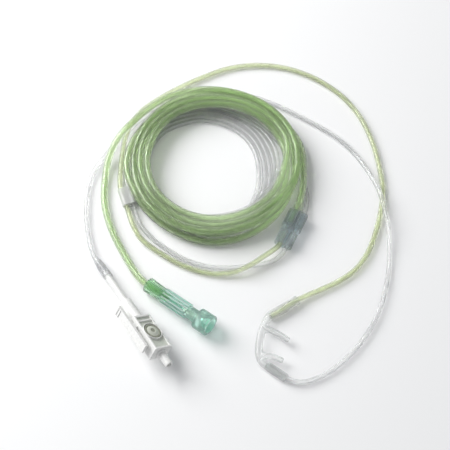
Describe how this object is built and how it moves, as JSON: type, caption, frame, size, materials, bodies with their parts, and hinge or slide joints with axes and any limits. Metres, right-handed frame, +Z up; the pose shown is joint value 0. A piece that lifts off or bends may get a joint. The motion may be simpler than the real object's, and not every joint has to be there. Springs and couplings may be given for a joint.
{
  "type": "nasal oxygen cannula",
  "caption": "Divided nasal cannula: green oxygen tube and clear sampling tube, coiled, with pronged nasal piece, slide sleeve, junction collar, oxygen connector and sampling adapter.",
  "frame": {"origin": "on the table under the middle of the bounding box of the fittings, the pieces that are not tube or coil", "axes": "+Z up from the table; +Y from the nasal piece towards the far side of the coil; +X to the right as the picture shows the set"},
  "size_m": [0.1674, 0.2037, 0.0154],
  "materials": {
    "clear_vinyl": "clear soft vinyl, glossy",
    "pale_green_vinyl": "pale green translucent soft vinyl, glossy",
    "green_vinyl": "green translucent soft vinyl, glossy",
    "smoke_blue_vinyl": "smoky grey-blue translucent vinyl, glossy",
    "teal_vinyl": "teal green translucent soft vinyl, satin",
    "clear_hub_plastic": "clear hard plastic, glossy",
    "white_plastic": "white moulded plastic, semi-gloss",
    "window_plastic": "grey-green smooth plastic"
  },
  "bodies": {
    "set": {"nasal_piece": "clear_vinyl", "oxygen_loop_tube": "pale_green_vinyl", "sampling_loop_tube": "clear_vinyl", "junction_collar": "smoke_blue_vinyl", "oxygen_feed_lead": "green_vinyl", "oxygen_coil": "green_vinyl", "oxygen_feed_tail": "green_vinyl", "sampling_feed_lead": "clear_vinyl", "sampling_coil": "clear_vinyl", "sampling_feed_tail": "clear_vinyl", "oxygen_connector": "teal_vinyl", "sampling_hub": "clear_hub_plastic", "adapter_body": "white_plastic", "adapter_window": "window_plastic"},
    "sleeve": {"slide_sleeve": "clear_vinyl"}
  },
  "joints": [
    {"name": "sleeve_slide", "type": "slide", "parent": "set", "child": "sleeve", "axis": [0.309, -0.9511, 0], "range_m": [-0.001, 0.012]}
  ]
}
